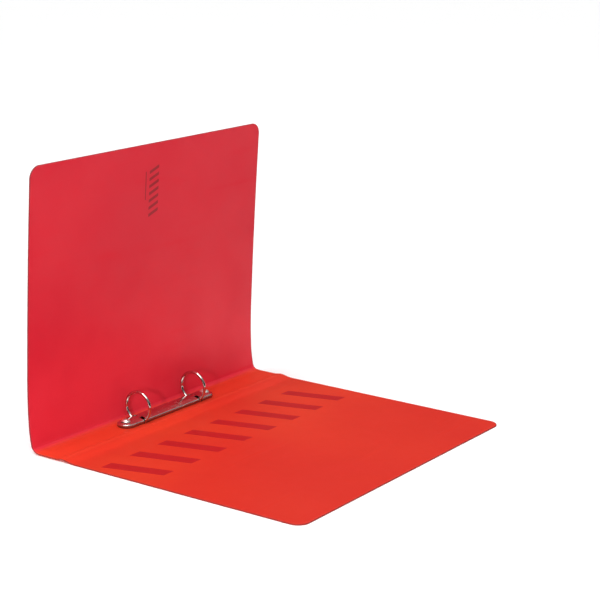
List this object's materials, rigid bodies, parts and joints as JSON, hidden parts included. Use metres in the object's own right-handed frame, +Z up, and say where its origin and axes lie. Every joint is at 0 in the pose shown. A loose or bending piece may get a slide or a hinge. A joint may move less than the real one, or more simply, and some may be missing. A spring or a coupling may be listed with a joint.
{
  "type": "ring binder",
  "caption": "Translucent plastic ring binder, lying open with its front cover up, that holds punched sheets on chromed rings which pull apart.",
  "frame": {"origin": "under the middle of the bounding box, on the table", "axes": "+X from the spine to the back cover's fore edge, +Y along the spine, +Z up"},
  "size_m": [0.286, 0.32, 0.251],
  "materials": {
    "sheet": "satin translucent polypropylene, red",
    "label": "matt white label",
    "chrome": "bright nickel-chrome plating",
    "steel": "plain rolled steel strip",
    "rivet": "bright silver domed rivet head"
  },
  "bodies": {
    "spine": {"spine_panel": "sheet", "spine_label": "label", "front_crease": "sheet", "back_crease": "sheet", "ring_plate": "chrome", "rivet_post_lower": "chrome", "rivet_post_upper": "chrome", "rivet_head_lower": "rivet", "rivet_head_upper": "rivet"},
    "front_cover": {"front_cover": "sheet"},
    "back_cover": {"back_cover": "sheet"},
    "front_jaw": {"front_blade": "steel", "front_half_ring_lower": "chrome", "front_half_ring_upper": "chrome"},
    "back_jaw": {"back_blade": "steel", "back_half_ring_lower": "chrome", "back_half_ring_upper": "chrome"}
  },
  "joints": [
    {"name": "front_cover_fold", "type": "hinge", "parent": "spine", "child": "front_cover", "pos_m": [-0.13647, 0, 0.00322], "axis": [0, 1, 0], "range_deg": [-85, 3], "deforming": ["front_crease"]},
    {"name": "back_cover_fold", "type": "hinge", "parent": "spine", "child": "back_cover", "pos_m": [-0.10496, 0, 0.00254], "axis": [0, -1, 0], "range_deg": [0, 87], "deforming": ["back_crease"]},
    {"name": "ring_open", "type": "hinge", "parent": "spine", "child": "back_jaw", "pos_m": [-0.11292, 0, 0.00345], "axis": [0, 1, 0], "range_deg": [0, 11]},
    {"name": "front_ring_open", "type": "hinge", "parent": "spine", "child": "front_jaw", "pos_m": [-0.12872, 0, 0.00345], "axis": [0, -1, 0], "range_deg": [0, 11]}
  ],
  "couplings": [
    {"joint": "front_ring_open", "follows": "ring_open", "ratio": 1}
  ]
}
